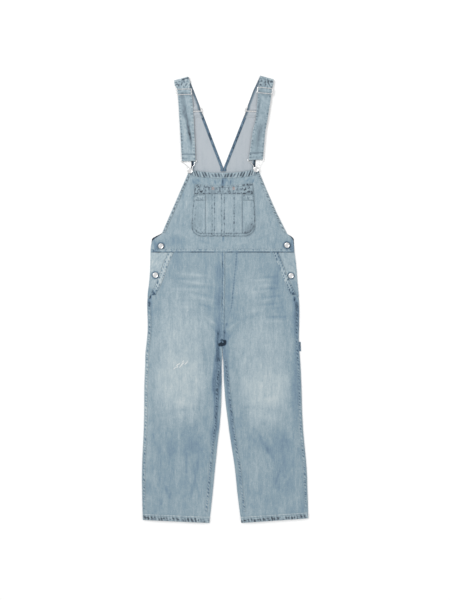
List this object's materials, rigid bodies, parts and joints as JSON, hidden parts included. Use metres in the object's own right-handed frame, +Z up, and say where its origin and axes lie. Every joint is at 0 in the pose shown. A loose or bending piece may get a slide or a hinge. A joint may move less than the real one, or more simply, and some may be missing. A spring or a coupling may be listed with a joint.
{
  "type": "denim bib overalls",
  "caption": "Light-wash denim bib overalls laid flat on their back, straps brought forward and hooked to the bib, wide cropped legs.",
  "frame": {"origin": "centre of the garment's outline, on the surface that it lies on", "axes": "+Y up the garment towards the straps, +X towards the right of the view from above, +Z up from the surface"},
  "size_m": [0.5396, 1.4526, 0.0102],
  "materials": {
    "denim": "faded light-blue cotton denim, matt",
    "denim_seam": "denim hems and felled seams, puckered and darker in the folds",
    "denim_inside": "pale grey inner face of the denim, matt",
    "denim_dark": "unfaded dark-blue denim of turned edges",
    "white_metal": "bright silver-white plated metal, plain"
  },
  "bodies": {
    "root": {"back_leg_left": "denim", "back_leg_right": "denim", "front_leg_left": "denim", "front_leg_right": "denim", "hip_facing_left": "denim", "hip_facing_right": "denim", "pocket_edge_left": "denim_seam", "pocket_edge_right": "denim_seam", "back_panel_left": "denim_inside", "back_panel_right": "denim_inside", "neck_hem_left": "denim_dark", "neck_hem_right": "denim_dark", "front_bib": "denim", "bib_top_hem": "denim_seam", "bib_side_hem_left": "denim_seam", "bib_side_hem_right": "denim_seam", "bib_pocket": "denim", "bib_pocket_hem": "denim_seam", "pencil_pocket_left": "denim", "pencil_pocket_right": "denim", "pencil_pocket_hem_left": "denim_seam", "pencil_pocket_hem_right": "denim_seam", "waist_seam": "denim_seam", "front_seam": "denim_seam", "inseam_left": "denim_seam", "inseam_right": "denim_seam", "outseam_left": "denim_seam", "outseam_right": "denim_seam", "leg_hem_left": "denim_seam", "leg_hem_right": "denim_seam", "side_tab": "denim_dark", "strap_left": "denim", "strap_right": "denim", "front_slide_left": "white_metal", "front_slide_right": "white_metal", "back_slide_left": "white_metal", "back_slide_right": "white_metal", "buckle_left": "white_metal", "buckle_right": "white_metal", "bib_button_left": "white_metal", "bib_button_right": "white_metal", "side_button_upper_left": "white_metal", "side_button_upper_right": "white_metal", "side_button_lower_left": "white_metal", "side_button_lower_right": "white_metal"}
  },
  "joints": []
}
